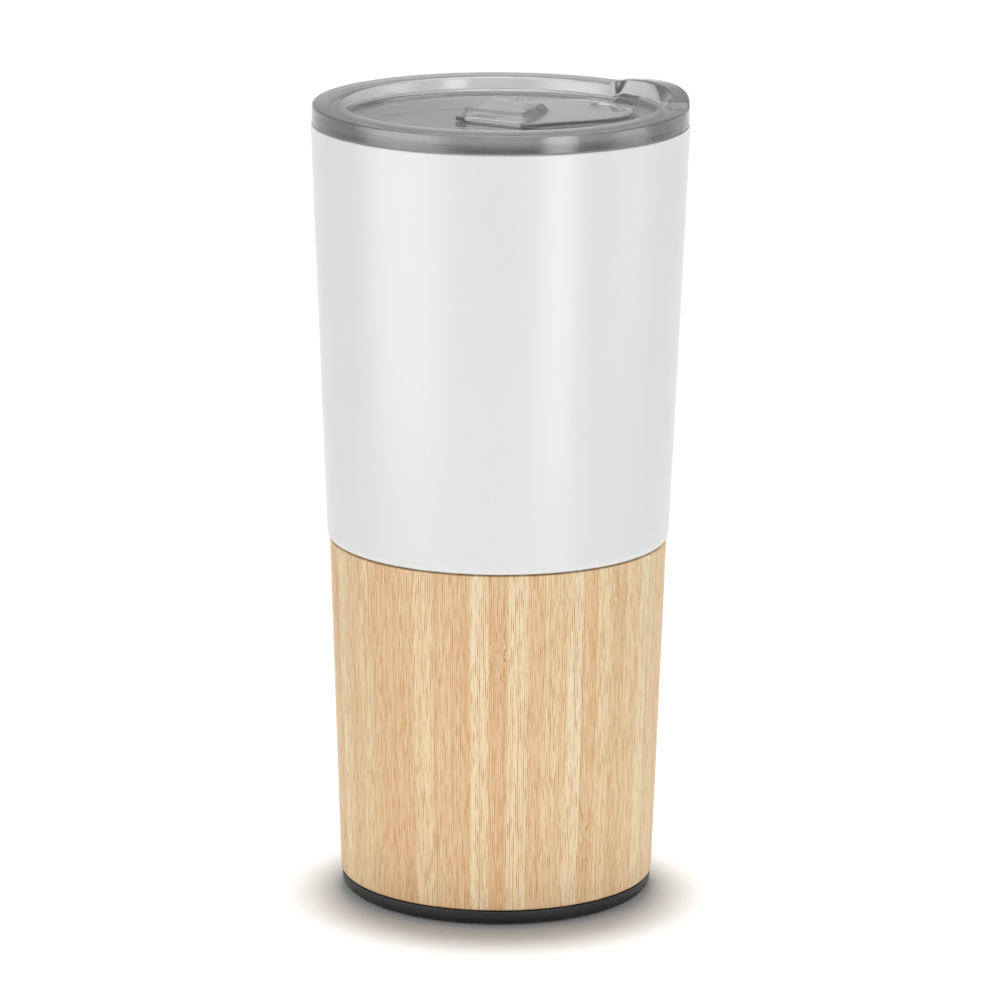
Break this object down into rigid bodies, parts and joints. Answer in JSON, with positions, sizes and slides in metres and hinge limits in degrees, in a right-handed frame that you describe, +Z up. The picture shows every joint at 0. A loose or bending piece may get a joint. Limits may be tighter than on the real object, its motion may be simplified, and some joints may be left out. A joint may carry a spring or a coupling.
{
  "type": "insulated tumbler",
  "caption": "Tapered double-walled steel tumbler, white above and bamboo-clad below, with a press-in clear lid that has a thumb slide over its drink hole.",
  "frame": {"origin": "on the table, under the cup's axis", "axes": "+Z up along the cup's axis, +X towards the drinking spout, +Y to its left when it is held by a person facing along -X"},
  "size_m": [0.0884, 0.0884, 0.1915],
  "materials": {
    "pad_rubber": "matte non-slip pad",
    "black_plastic": "satin moulded plastic",
    "bamboo": "laminated bamboo, clear matt lacquer, grain upright",
    "white_paint": "satin white powder coat on steel",
    "bare_steel": "brushed stainless steel",
    "seal_glass": "fused sealing glass",
    "getter_metal": "pressed metal powder",
    "smoke_plastic": "clear smoke-grey moulded plastic",
    "silicone": "translucent silicone"
  },
  "bodies": {
    "vessel": {"foot_pad": "pad_rubber", "base_cap": "black_plastic", "bamboo_sleeve": "bamboo", "outer_shell": "white_paint", "inner_liner": "bare_steel", "outer_bottom": "bare_steel", "vacuum_seal": "seal_glass", "getter_pellet": "getter_metal", "getter_clip": "bare_steel"},
    "lid": {"lid_body": "smoke_plastic", "lid_gasket": "silicone"},
    "slide": {"slider": "smoke_plastic", "slider_keeper": "smoke_plastic"}
  },
  "joints": [
    {"name": "lid_lift", "type": "slide", "parent": "vessel", "child": "lid", "axis": [0, 0, 1], "range_m": [0, 0.12]},
    {"name": "slider_open", "type": "slide", "parent": "lid", "child": "slide", "axis": [-1, 0, 0], "range_m": [0, 0.016]}
  ]
}
